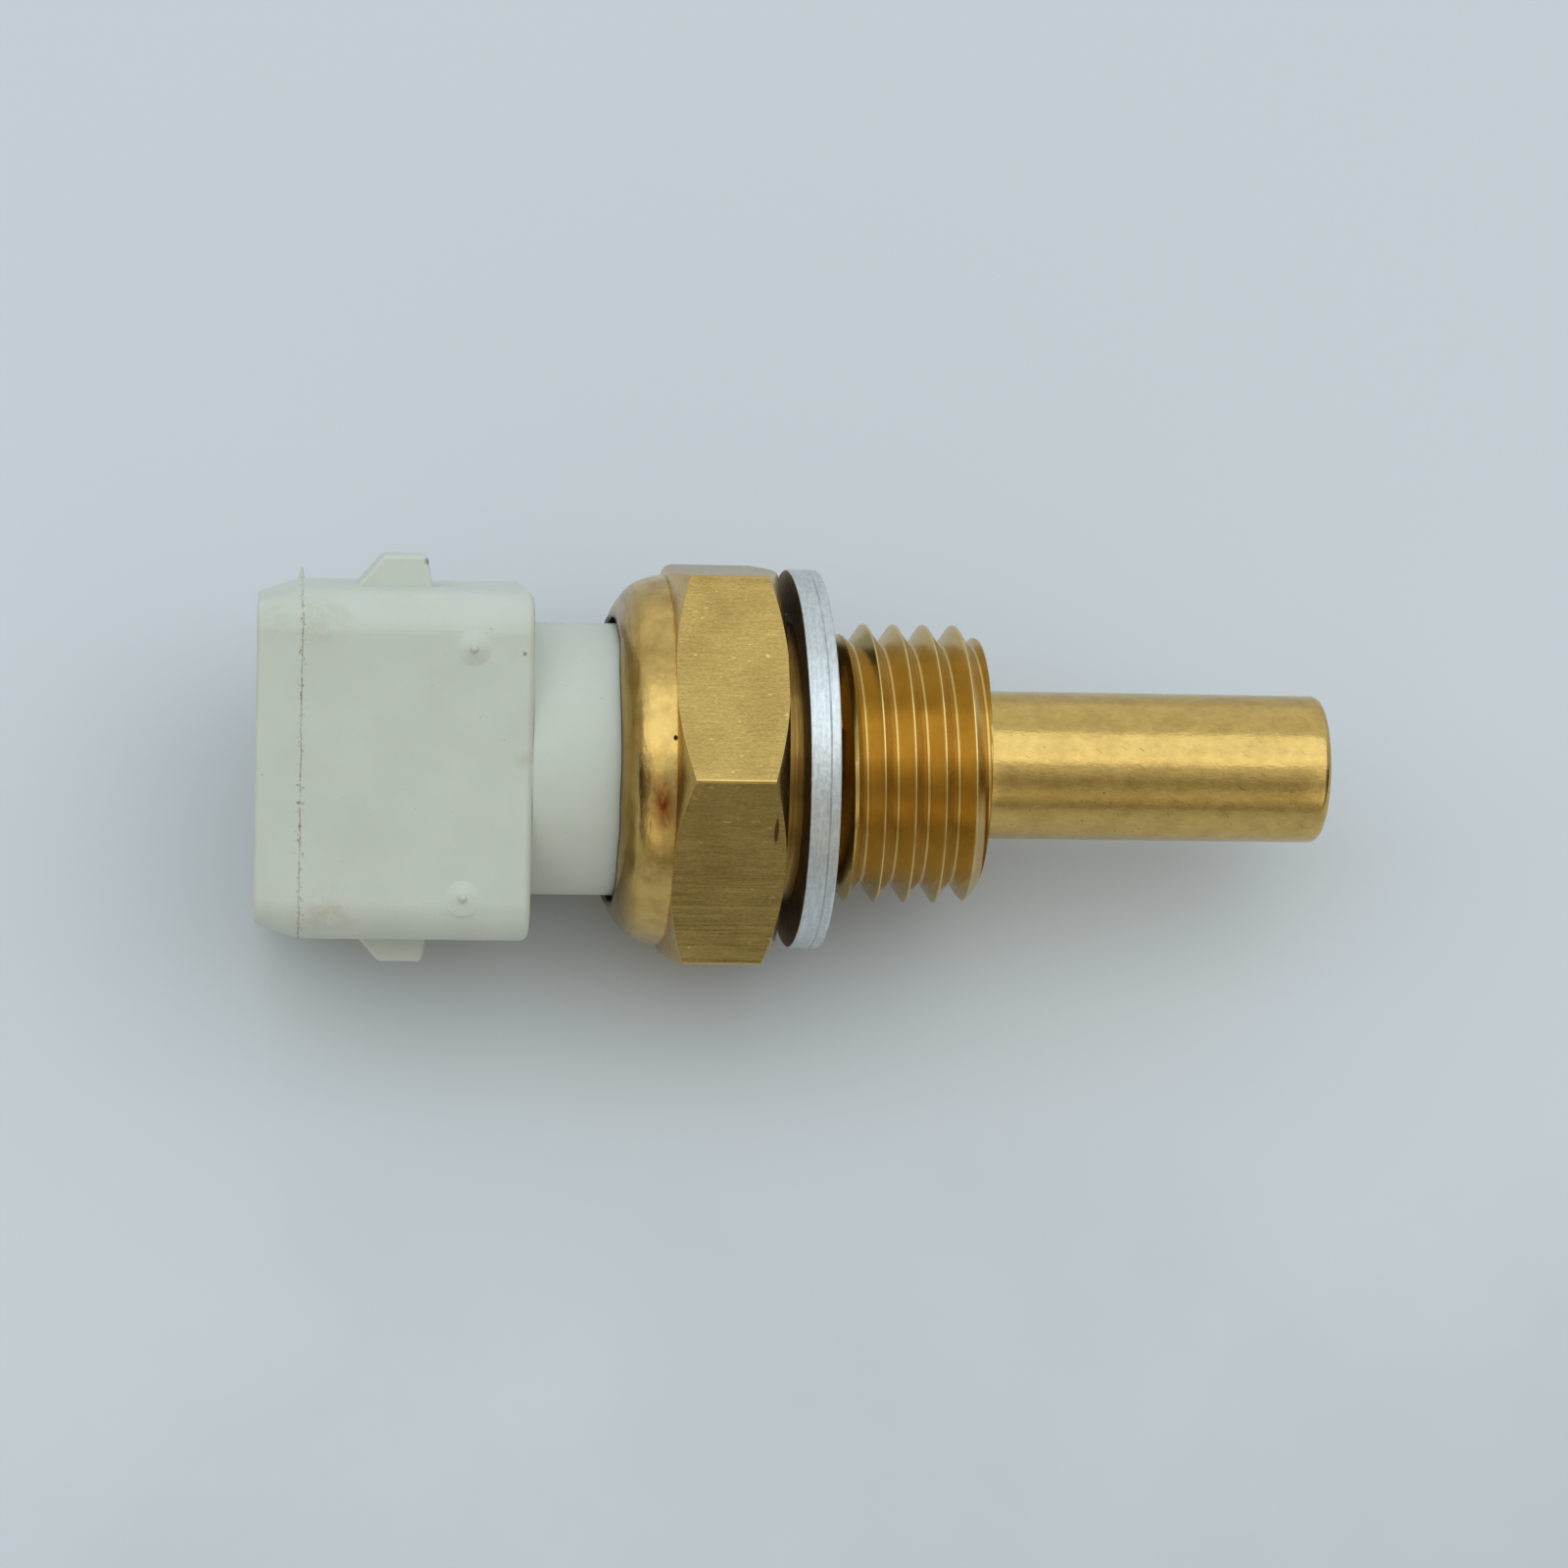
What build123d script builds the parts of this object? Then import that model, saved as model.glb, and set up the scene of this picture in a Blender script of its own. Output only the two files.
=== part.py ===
from build123d import *
import os
from math import cos, radians, sin, tan

# Water temperature sensor, in millimetres.
# +X runs along the sensor from the plug socket to the probe tip, +Z is up, and the origin lies on the
# axis in the plane where the sealing washer meets the engine. The sensor lies on one flat of its hexagon.

# Brass body: screwed shank
thread_diameter = 13.9
thread_end = 8.0
thread_end_chamfer = 0.7
relief_depth = 0.95
relief_length = 1.4
relief_angle = 45.0
shank_bore_diameter = 9.4
shank_bore_floor_wall = 1.0

# Brass body: hexagon, whose flats stand this far outside the thread
flat_height = 2.55
hex_length = 5.4
hex_chamfer_angle = 30.0

# Brass body: collar rolled over the plastic, this much below the flats
collar_step = 0.3
collar_wall = 1.3
collar_length = 3.05
roll_length = 2.2
roll_bulge = 0.29
lip_overlap = 0.85
lip_thickness = 1.2
socket_floor_wall = 4.35

# Brass body: probe
probe_diameter = 7.4
probe_length = 17.5
probe_end_round = 0.45
probe_wall = 0.7
probe_tip_wall = 1.0

# Sealing washer, as wide as the hexagon across its flats; it is loose, and stands this far off the hexagon
washer_thickness = 1.5
washer_slack = 0.85
washer_edge_chamfer = 0.12

# Plug socket of the white moulding
connector_turn = 30.0
block_width = 17.0
block_thickness = 13.7
block_length = 13.3
block_corner_radius = 2.1
block_end_round = 0.4
lead_in_length = 2.15
lead_in_depth = 0.7
socket_wall = 1.4
socket_corner_radius = 1.0
socket_back_wall = 2.6
socket_mouth_chamfer = 0.2
socket_mouth_chamfer_length = 0.4

# Latch lugs and pips on the outside of the socket
lug_height = 1.5
lug_width = 3.6
lug_setback = 4.8
lug_ramp_length = 1.3
lug_top_length = 1.9
lug_back_length = 0.5
lug_edge_round = 0.25
pip_setback = 10.3
pip_side_setback = 2.5
pip_base_diameter = 1.3
pip_tip_diameter = 0.4
pip_height = 0.4

# Round end of the moulding, held in the collar
neck_exposed_length = 3.7
nose_length = 2.8
nose_chamfer = 0.5

# Seal ring between the shoulder and the floor of the collar bore
ring_length = 1.5
ring_section = 2.2
ring_edge_round = 0.5

# Terminals
blade_width = 2.8
blade_thickness = 0.8
blade_pitch = 5.0
blade_length = 6.5
blade_tip_taper = 0.5
blade_tip_width_taper = 0.4
blade_root_length = 3.6
tail_width = 1.6
tail_length = 1.5

# Sensing element and its leads
bead_diameter = 3.0
bead_length = 3.2
bead_tip_gap = 0.6
lead_diameter = 0.5
lead_spacing = 1.5
lead_straight_length = 2.0
lead_bend_radius = 2.5
lead_sleeve_gap = 0.8
sleeve_diameter = 1.2
sleeve_bead_gap = 0.4
sleeve_step_setback = 0.8
liner_thickness = 0.25
liner_end_setback = 0.2
paste_cover = 0.8

# Clearances
bore_play = 0.05
neck_play = 0.3
washer_play = 0.2
lead_play = 0.03
paste_play = 0.01

# Stations along the axis
washer_back_x = -washer_thickness
hex_right_x = washer_back_x - washer_slack
land_end_x = hex_right_x + washer_thickness
relief_end_x = land_end_x + relief_length
hex_left_x = hex_right_x - hex_length
lip_x = hex_left_x - collar_length
lip_underside_x = lip_x + lip_thickness
socket_floor_x = hex_right_x - socket_floor_wall
block_end_x = lip_x - neck_exposed_length
mouth_x = block_end_x - block_length
socket_back_x = block_end_x - socket_back_wall
shoulder_end_x = socket_floor_x - ring_length
nose_end_x = socket_floor_x + nose_length
shank_bore_end_x = thread_end - shank_bore_floor_wall
probe_end_x = thread_end + probe_length
probe_bore_end_x = probe_end_x - probe_tip_wall
blade_tip_x = socket_back_x - blade_length
blade_root_x = socket_back_x + blade_root_length
tail_end_x = nose_end_x + tail_length
bead_end_x = probe_bore_end_x - bead_tip_gap
bead_start_x = bead_end_x - bead_length
sleeve_start_x = shank_bore_end_x - sleeve_step_setback
sleeve_end_x = bead_start_x - sleeve_bead_gap
paste_start_x = bead_start_x - paste_cover
liner_start_x = shank_bore_end_x + liner_end_setback
liner_end_x = paste_start_x - liner_end_setback

# Diameters that follow from the fits
key_size = thread_diameter + 2 * flat_height
collar_diameter = key_size - 2 * collar_step
collar_bore_diameter = collar_diameter - 2 * collar_wall
lip_opening_diameter = collar_bore_diameter - 2 * lip_overlap
neck_diameter = lip_opening_diameter - 2 * neck_play
shoulder_diameter = collar_bore_diameter - 2 * bore_play
gland_diameter = collar_bore_diameter - 2 * ring_section
washer_bore_diameter = thread_diameter + 2 * washer_play
washer_diameter = key_size
relief_diameter = thread_diameter - 2 * relief_depth
nose_diameter = shank_bore_diameter - 2 * bore_play
probe_bore_diameter = probe_diameter - 2 * probe_wall
liner_diameter = probe_bore_diameter - 2 * bore_play
liner_bore_diameter = liner_diameter - 2 * liner_thickness
paste_diameter = probe_bore_diameter - 2 * paste_play
sleeve_bore_diameter = lead_diameter + 2 * lead_play
socket_width = block_width - 2 * socket_wall
socket_height = block_thickness - 2 * socket_wall


def across_axis(x, turn=0.0):
    """Plane square to the axis at station x; its local x leans from +Y towards +Z by the turn."""
    lean = radians(turn)
    return Plane(origin=(x, 0, 0), x_dir=(0, cos(lean), sin(lean)), z_dir=(1, 0, 0))


def connector_plane(x):
    """Cross-section of the plug socket: local x along its width, local y through its thickness."""
    return across_axis(x, connector_turn)


def along_connector():
    """Plane through the axis and the socket's width: local x along the sensor, local y along the width."""
    lean = radians(connector_turn)
    return Plane(origin=(0, 0, 0), x_dir=(1, 0, 0), z_dir=(0, -sin(lean), cos(lean)))


def turned(*outline):
    """Solid turned about the axis from a closed outline of (station, radius) points."""
    return revolve(make_face(Polyline(*outline, close=True)), Axis.X)


def bar(start_x, end_x, diameter):
    """Round bar on the axis between two stations."""
    return extrude(across_axis(start_x) * Circle(diameter / 2), amount=end_x - start_x)


def hexagon():
    """Hexagon with both ends chamfered, one flat facing down."""
    corner_radius = key_size / 2 / cos(radians(30))
    chamfer_length = (corner_radius - key_size / 2) * tan(radians(hex_chamfer_angle))
    blank = turned(
        (hex_left_x, 0),
        (hex_left_x, key_size / 2),
        (hex_left_x + chamfer_length, corner_radius),
        (hex_right_x - chamfer_length, corner_radius),
        (hex_right_x, key_size / 2),
        (hex_right_x, 0),
    )
    section = RegularPolygon(radius=key_size / 2, side_count=6, major_radius=False)
    return blank & extrude(across_axis(hex_left_x) * section, amount=hex_length)


def collar():
    """Collar whose free end is rolled inwards over the moulding's shoulder."""
    lip_radius = lip_opening_diameter / 2
    collar_radius = collar_diameter / 2
    lip_corner = (lip_x, lip_radius)
    roll_end = (lip_x + roll_length, collar_radius)
    roll = SagittaArc(lip_corner, roll_end, roll_bulge)
    rest = Polyline(roll_end, (hex_right_x, collar_radius), (hex_right_x, 0), (lip_x, 0), lip_corner)
    outside = revolve(make_face(roll + rest), Axis.X)
    return outside - bar(lip_x, socket_floor_x, lip_opening_diameter)


def shank():
    """Land for the washer, thread relief, thread envelope with chamfered end, and probe with rounded tip."""
    relief_radius = relief_diameter / 2
    thread_radius = thread_diameter / 2
    relief_rise = (thread_radius - relief_radius) / tan(radians(relief_angle))
    thread = turned(
        (hex_right_x, 0),
        (hex_right_x, thread_radius),
        (land_end_x, thread_radius),
        (land_end_x, relief_radius),
        (relief_end_x, relief_radius),
        (relief_end_x + relief_rise, thread_radius),
        (thread_end - thread_end_chamfer, thread_radius),
        (thread_end, thread_radius - thread_end_chamfer),
        (thread_end, 0),
    )
    probe = bar(thread_end, probe_end_x, probe_diameter)
    tip_edge = probe.edges().filter_by(GeomType.CIRCLE).sort_by(Axis.X)[-1]
    return thread + fillet(tip_edge, probe_end_round)


def brass_body():
    """One turned piece: collar, hexagon, shank and closed probe."""
    body = collar() + hexagon() + shank()
    body -= bar(lip_underside_x, socket_floor_x, collar_bore_diameter)
    body -= bar(lip_x, socket_floor_x, lip_opening_diameter)
    body -= bar(socket_floor_x, shank_bore_end_x, shank_bore_diameter)
    body -= bar(shank_bore_end_x, probe_bore_end_x, probe_bore_diameter)
    return body


def sealing_washer():
    """Flat ring between the hexagon and the engine."""
    outer = washer_diameter / 2
    edge = washer_edge_chamfer
    disc = turned(
        (washer_back_x, 0),
        (washer_back_x, outer - edge),
        (washer_back_x + edge, outer),
        (-edge, outer),
        (0, outer - edge),
        (0, 0),
    )
    return disc - bar(washer_back_x, 0, washer_bore_diameter)


def block_outline(inset=0.0):
    """Rounded outline of the socket block, drawn in from its full size by the inset."""
    width = block_width - 2 * inset
    thickness = block_thickness - 2 * inset
    return RectangleRounded(width, thickness, block_corner_radius - inset)


def socket_block():
    """Outer block with tapered mouth and rounded end, before the socket is cut."""
    lead_in_end_x = mouth_x + lead_in_length
    body = extrude(connector_plane(lead_in_end_x) * block_outline(), amount=block_end_x - lead_in_end_x)
    end_edges = body.edges().group_by(Axis.X)[-1]
    body = fillet(end_edges, block_end_round)
    lead_in = loft([
        connector_plane(mouth_x) * block_outline(lead_in_depth),
        connector_plane(lead_in_end_x) * block_outline(),
    ])
    return body + lead_in


def socket_space():
    """Hollow of the socket with its small chamfer at the mouth."""
    section = RectangleRounded(socket_width, socket_height, socket_corner_radius)
    wide = socket_width + 2 * socket_mouth_chamfer
    high = socket_height + 2 * socket_mouth_chamfer
    mouth = RectangleRounded(wide, high, socket_corner_radius + socket_mouth_chamfer)
    space = extrude(connector_plane(mouth_x) * section, amount=socket_back_x - mouth_x)
    chamfer_end_x = mouth_x + socket_mouth_chamfer_length
    return space + loft([connector_plane(mouth_x) * mouth, connector_plane(chamfer_end_x) * section])


def latch_lug(side):
    """Wedge on a narrow side of the block, its ramp towards the mouth and its stop towards the neck."""
    base = block_width / 2
    top = base + lug_height
    ramp_x = mouth_x + lug_setback
    top_x = ramp_x + lug_ramp_length
    back_x = top_x + lug_top_length
    outline = Polyline(
        (ramp_x, side * (base - socket_wall / 2)),
        (ramp_x, side * base),
        (top_x, side * top),
        (back_x, side * top),
        (back_x + lug_back_length, side * base),
        (back_x + lug_back_length, side * (base - socket_wall / 2)),
        close=True,
    )
    wedge = extrude(along_connector() * make_face(outline), amount=lug_width / 2, both=True)
    lean = radians(connector_turn)
    outwards = Axis((0, 0, 0), (0, side * cos(lean), side * sin(lean)))
    return fillet(wedge.faces().sort_by(outwards)[-1].edges(), lug_edge_round)


def pip(side):
    """Small blunt cone on the wide face that looks up."""
    lean = radians(connector_turn)
    face_out = (0, -sin(lean), cos(lean))
    across = side * (block_width / 2 - pip_side_setback)
    face = block_thickness / 2
    centre = (mouth_x + pip_setback,
              across * cos(lean) - face * sin(lean),
              across * sin(lean) + face * cos(lean))
    cone = Cone(pip_base_diameter / 2, pip_tip_diameter / 2, pip_height,
                align=(Align.CENTER, Align.CENTER, Align.MIN))
    return Plane(origin=centre, x_dir=(1, 0, 0), z_dir=face_out) * cone


def round_end():
    """Neck, shoulder under the rolled lip, seal gland and nose of the moulding."""
    nose_radius = nose_diameter / 2
    return turned(
        (block_end_x - block_end_round, 0),
        (block_end_x - block_end_round, neck_diameter / 2),
        (lip_underside_x, neck_diameter / 2),
        (lip_underside_x, shoulder_diameter / 2),
        (shoulder_end_x, shoulder_diameter / 2),
        (shoulder_end_x, gland_diameter / 2),
        (socket_floor_x, gland_diameter / 2),
        (socket_floor_x, nose_radius),
        (nose_end_x - nose_chamfer, nose_radius),
        (nose_end_x, nose_radius - nose_chamfer),
        (nose_end_x, 0),
    )


def connector_housing(blades):
    """White moulding: plug socket, latch lugs, pips and round end, moulded round the two blades."""
    housing = socket_block() + round_end()
    for side in (-1, 1):
        housing += latch_lug(side)
        housing += pip(side)
    housing -= socket_space()
    for blade in blades:
        housing -= blade
    return housing


def terminal_blade(side):
    """Flat plug contact with a narrower tail that reaches through the moulding."""
    centre = side * blade_pitch / 2
    at = Pos(centre, 0, 0)
    body_start_x = blade_tip_x + blade_tip_taper
    full = at * Rectangle(blade_thickness, blade_width)
    small = at * Rectangle(blade_thickness - blade_tip_width_taper, blade_width - 2 * blade_tip_width_taper)
    tail = at * Rectangle(blade_thickness, tail_width)
    tip = loft([connector_plane(blade_tip_x) * small, connector_plane(body_start_x) * full])
    blade = extrude(connector_plane(body_start_x) * full, amount=blade_root_x - body_start_x)
    return tip + blade + extrude(connector_plane(blade_root_x) * tail, amount=tail_end_x - blade_root_x)


def seal_ring():
    """Rubber ring pressed square between the shoulder, the collar and the floor of the collar bore."""
    middle_x = (shoulder_end_x + socket_floor_x) / 2
    middle_radius = (gland_diameter + collar_bore_diameter) / 4
    section = RectangleRounded(ring_length, ring_section, ring_edge_round)
    return revolve(Pos(middle_x, middle_radius) * section, Axis.X)


def lead_wire(side):
    """Wire from the end of a blade's tail to the sensing element."""
    wide = side * blade_pitch / 2
    narrow = side * lead_spacing / 2
    path = along_connector() * FilletPolyline(
        (tail_end_x, wide),
        (tail_end_x + lead_straight_length, wide),
        (sleeve_start_x - lead_sleeve_gap, narrow),
        (bead_start_x, narrow),
        radius=lead_bend_radius,
    )
    return sweep(connector_plane(tail_end_x) * (Pos(wide, 0, 0) * Circle(lead_diameter / 2)), path=path)


def lead_sleeve(side):
    """Insulating sleeve on the straight stretch of a lead."""
    at = Pos(side * lead_spacing / 2, 0, 0)
    section = Circle(sleeve_diameter / 2) - Circle(sleeve_bore_diameter / 2)
    return extrude(connector_plane(sleeve_start_x) * (at * section), amount=sleeve_end_x - sleeve_start_x)


def thermistor_bead():
    """Coated sensing element, flat where the leads enter and round at the tip."""
    radius = bead_diameter / 2
    dome_start_x = bead_end_x - radius
    dome = CenterArc((dome_start_x, 0), radius, 0, 90)
    sides = Polyline((dome_start_x, radius), (bead_start_x, radius), (bead_start_x, 0), (bead_end_x, 0))
    return revolve(make_face(dome + sides), Axis.X)


def bore_liner():
    """Thin insulating tube inside the probe."""
    return bar(liner_start_x, liner_end_x, liner_diameter) - bar(liner_start_x, liner_end_x, liner_bore_diameter)


def heat_paste(insides):
    """Heat-conducting filling of the probe tip, round the sensing element and the ends of its leads."""
    filling = bar(paste_start_x, probe_bore_end_x, paste_diameter)
    for piece in insides:
        filling -= piece
    return filling


os.makedirs("parts", exist_ok=True)

sides = {"left": -1, "right": 1}
blades = {name: terminal_blade(side) for name, side in sides.items()}
leads = {name: lead_wire(side) for name, side in sides.items()}
sleeves = {name: lead_sleeve(side) for name, side in sides.items()}
bead = thermistor_bead()

nodes = {
    "brass_body": brass_body(),
    "sealing_washer": sealing_washer(),
    "connector_housing": connector_housing(blades.values()),
    "seal_ring": seal_ring(),
    "thermistor_bead": bead,
    "bore_liner": bore_liner(),
    "heat_paste": heat_paste([bead, *leads.values(), *sleeves.values()]),
}
for name in sides:
    nodes[f"terminal_blade_{name}"] = blades[name]
    nodes[f"lead_wire_{name}"] = leads[name]
    nodes[f"lead_sleeve_{name}"] = sleeves[name]

for name, shape in nodes.items():
    export_step(shape, f"parts/{name}.step")
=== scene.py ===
from math import atan2, cos, degrees, hypot, pi, radians, sin, tan

import bmesh
import bpy
from mathutils import Matrix, Vector, noise


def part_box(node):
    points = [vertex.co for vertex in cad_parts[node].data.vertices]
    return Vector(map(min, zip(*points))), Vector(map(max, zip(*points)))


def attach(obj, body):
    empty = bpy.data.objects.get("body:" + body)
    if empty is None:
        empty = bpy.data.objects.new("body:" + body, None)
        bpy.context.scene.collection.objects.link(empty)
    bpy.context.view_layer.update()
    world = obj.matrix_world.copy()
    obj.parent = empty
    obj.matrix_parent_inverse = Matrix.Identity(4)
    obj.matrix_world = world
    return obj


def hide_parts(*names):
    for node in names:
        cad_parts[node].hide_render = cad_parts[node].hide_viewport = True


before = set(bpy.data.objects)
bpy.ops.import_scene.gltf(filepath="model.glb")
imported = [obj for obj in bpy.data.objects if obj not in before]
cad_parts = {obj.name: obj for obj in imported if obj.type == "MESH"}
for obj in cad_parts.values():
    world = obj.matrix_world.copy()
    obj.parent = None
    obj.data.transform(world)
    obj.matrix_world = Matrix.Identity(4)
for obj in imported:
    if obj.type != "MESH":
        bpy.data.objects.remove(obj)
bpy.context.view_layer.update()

# Sizes are in millimetres and meshes are made in millimetres, then scaled to metres
MM = 0.001


def node_span(node, axis=0):
    """Lowest and highest coordinate of a CAD node along an axis, in millimetres."""
    low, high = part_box(node)
    return low[axis] / MM, high[axis] / MM


# Stations along the sensor's axis, read from the frame
LIP_X, PROBE_END_X = node_span("brass_body")
WASHER_BACK_X, WASHER_FACE_X = node_span("sealing_washer")
MOUTH_X, NOSE_END_X = node_span("connector_housing")
RING_START_X, RING_END_X = node_span("seal_ring")
FLOOR_Z = node_span("brass_body", 2)[0]

# Hexagon
KEY_HALF = -FLOOR_Z
HEX_RIGHT_X = WASHER_BACK_X - 0.85
HEX_LENGTH = 5.4
HEX_LEFT_X = HEX_RIGHT_X - HEX_LENGTH
HEX_END_RADIUS = KEY_HALF + 0.08
HEX_BLANK_RADIUS = 11.2
HEX_BLANK_CHAMFER = 30.0
HEX_EDGE_ROUND = 0.11

# Collar and rolled lip
COLLAR_RADIUS = 9.2
ROLL_RADIUS = 3.1
ROLL_END_TURN = 160
LIP_RADIUS = 7.05
LIP_THICKNESS = 1.2
LIP_EDGE_ROUND = 0.2
LIP_EDGE_X = LIP_X + 0.33
COLLAR_BORE_RADIUS = 7.9
LIP_DENT_TURN = 115.0
LIP_DENT_DEPTH = 0.4
LIP_DENT_START = 0.8
LIP_DENT_RISE = 1.2
LIP_WAVE_REACH = 1.4
LIP_WAVES_PER_MM = 0.45
LIP_WAVE_SEED = 3.1
LIP_WAVE_DEPTH = 0.07
LIP_WAVE_OFFSET = 0.02
LIP_WAVE_SWELL = 0.004

# Shank
PITCH = 1.5
CREST_RADIUS = 6.95
THREAD_DEPTH = 0.96
FLANK_ANGLE = 30.0
CREST_HALF = 0.03
CREST_ROUND = 0.03
ROOT_RADIUS = 0.13
NEAR_CREST_X = 1.10
NEAR_CREST_TURN = 114.87
CRESTS = range(-2, 7)
LAND_RADIUS = 6.95
LAND_END_X = HEX_RIGHT_X + 1.5
LAND_CHAMFER = 0.1
LAND_FILLET = 0.15
RELIEF_RADIUS = 6.0
RELIEF_END_X = 0.55
THREAD_END_X = 8.0
THREAD_END_CHAMFER = 0.7
SHANK_BORE_RADIUS = 4.7
SHANK_BORE_END_X = 7.0

# Probe
PROBE_RADIUS = 3.7
PROBE_ROOT_ROUND = 0.18
PROBE_END_ROUND = 0.48
PROBE_BORE_RADIUS = 3.0
PROBE_BORE_END_X = PROBE_END_X - 1.0

# Washer
WASHER_RADIUS = 9.44
WASHER_BORE_RADIUS = 7.15
WASHER_EDGE = 0.1
WASHER_LEAN = 1.67
WASHER_LEAN_TURN = 156.0
WASHER_SHIFT = 0.16
WASHER_SHIFT_TURN = 24.9
WASHER_BACKWARD = 0.04
WASHER_RIPPLE = 0.03
WASHER_SEAM_SHARE = 0.66
WASHER_SEAM_DEPTH = 0.05
WASHER_SEAM_HALF = 0.05
WASHER_FACET = 0.03

# Plug socket
CONNECTOR_TURN = 30.0
BLOCK_HALF_WIDTH = 8.5
BLOCK_HALF_THICKNESS = 6.85
BLOCK_LENGTH = 13.3
BLOCK_END_X = MOUTH_X + BLOCK_LENGTH
BLOCK_CORNER = 2.1
BLOCK_END_ROUND = 0.4
LEAD_IN_LENGTH = 2.15
LEAD_IN_DEPTH = 0.7
SOCKET_WALL = 1.4
SOCKET_RIM_ROUND = 0.15
SOCKET_MOUTH_CHAMFER = 0.2
SOCKET_MOUTH_CHAMFER_LENGTH = 0.4
SOCKET_BACK_X = BLOCK_END_X - 2.6
NECK_RADIUS = 6.75
GLAND_RADIUS = 5.7
SHOULDER_RADIUS = 7.85
NOSE_RADIUS = 4.65
NOSE_CHAMFER = 0.5
LUG_HEIGHT = 1.5
LUG_HALF_WIDTH = 1.8
LUG_START_X = MOUTH_X + 4.8
LUG_RAMP = 1.3
LUG_TOP = 2.15
LUG_BACK = 0.25
LUG_SUNK = 0.7
LUG_EDGE_ROUND = 0.2
PIPS = ((MOUTH_X + 10.37, 5.84), (MOUTH_X + 10.0, -6.2))

# Steps round the axis of the large, the middle and the small turned shapes
SEGMENTS = 192
NECK_SEGMENTS = 128
PIP_SEGMENTS = 48


def arc(centre, radius, start, end, steps):
    """Points of an arc in the (station, radius) plane, from angle start to end in degrees."""
    turns = [radians(start + (end - start) * k / steps) for k in range(steps + 1)]
    return [(centre[0] + radius * cos(t), centre[1] + radius * sin(t)) for t in turns]


def place(x, radius, turn):
    """Point at a station, a distance from the axis and an angle in degrees from +Y towards +Z."""
    return Vector((x, radius * cos(radians(turn)), radius * sin(radians(turn))))


HEX_NORMALS = [place(0, 1, -90 + 60 * k) for k in range(6)]


def turn_of(point):
    """Angle of a point about the axis, in radians from +Y towards +Z."""
    return atan2(point.z, point.y)


def only(items, kind):
    """Those items that are of one kind, such as vertices."""
    return [item for item in items if isinstance(item, kind)]


def new_object(name, data):
    """Object linked to the scene."""
    made = bpy.data.objects.new(name, data)
    bpy.context.scene.collection.objects.link(made)
    return made


def shade_smooth(mesh, sharp_angle):
    """Smooth shading with sharp edges by angle in degrees."""
    for polygon in mesh.polygons:
        polygon.use_smooth = True
    mesh.set_sharp_from_angle(angle=radians(sharp_angle))


def finish_piece(name, bm, sharp_angle):
    """Object in metres from a mesh in millimetres."""
    bmesh.ops.scale(bm, vec=(MM, MM, MM), verts=bm.verts)
    mesh = bpy.data.meshes.new(name)
    bm.to_mesh(mesh)
    bm.free()
    shade_smooth(mesh, sharp_angle)
    return new_object(name, mesh)


def clean(bm):
    """Merges doubles, drops empty faces and points all faces outwards."""
    bmesh.ops.remove_doubles(bm, verts=bm.verts, dist=1e-5)
    bmesh.ops.dissolve_degenerate(bm, dist=1e-6, edges=bm.edges)
    bmesh.ops.recalc_face_normals(bm, faces=bm.faces)


def turned(outline, segments=SEGMENTS):
    """Mesh spun about the axis from (station, radius) points that close, or end on the axis."""
    bm = bmesh.new()
    verts = [bm.verts.new((x, radius, 0)) for x, radius in outline]
    edges = [bm.edges.new(pair) for pair in zip(verts, verts[1:])]
    if outline[0][1] > 0 and outline[-1][1] > 0:
        edges.append(bm.edges.new((verts[-1], verts[0])))
    bmesh.ops.spin(bm, geom=verts + edges, cent=(0, 0, 0), axis=(1, 0, 0), angle=2 * pi, steps=segments,
                   use_merge=True)
    clean(bm)
    return bm


def round_off(bm, geom, radius, segments, affect="EDGES"):
    """Rounds edges, or the corners of a flat face."""
    bmesh.ops.bevel(bm, geom=geom, offset=radius, offset_type="OFFSET", segments=segments, profile=0.5,
                    affect=affect, material=-1)


def extrude(bm, face, way):
    """Makes a flat face a closed prism, along a vector."""
    made = bmesh.ops.extrude_face_region(bm, geom=[face])["geom"]
    bmesh.ops.translate(bm, vec=way, verts=only(made, bmesh.types.BMVert))
    bmesh.ops.recalc_face_normals(bm, faces=bm.faces)


# Brass body


def thread_outline():
    """One pitch of the thread, from root to root, as (offset from the crest, drop below it)."""
    root = [(PITCH / 2 - ROOT_RADIUS * sin(radians(turn)),
             THREAD_DEPTH - ROOT_RADIUS * (1 - cos(radians(turn)))) for turn in (60, 48, 36, 24, 12)]
    top = (CREST_HALF + CREST_ROUND * tan(radians(FLANK_ANGLE)), CREST_ROUND)
    flank = [(top[0] + (root[0][0] - top[0]) * share, top[1] + (root[0][1] - top[1]) * share)
             for share in (1 / 3, 2 / 3)]
    right = [(CREST_HALF, 0.0), top, *flank, *root]
    left = [(-offset, drop) for offset, drop in reversed(right)]
    return left + right + [(PITCH / 2, THREAD_DEPTH)]


def shank_limit(x):
    """Largest radius of the thread at a station: relief, run-in slope, full thread and end chamfer."""
    rising = RELIEF_RADIUS + max(0.0, x - RELIEF_END_X)
    falling = CREST_RADIUS - max(0.0, x - (THREAD_END_X - THREAD_END_CHAMFER))
    return min(rising, falling, CREST_RADIUS)


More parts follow.
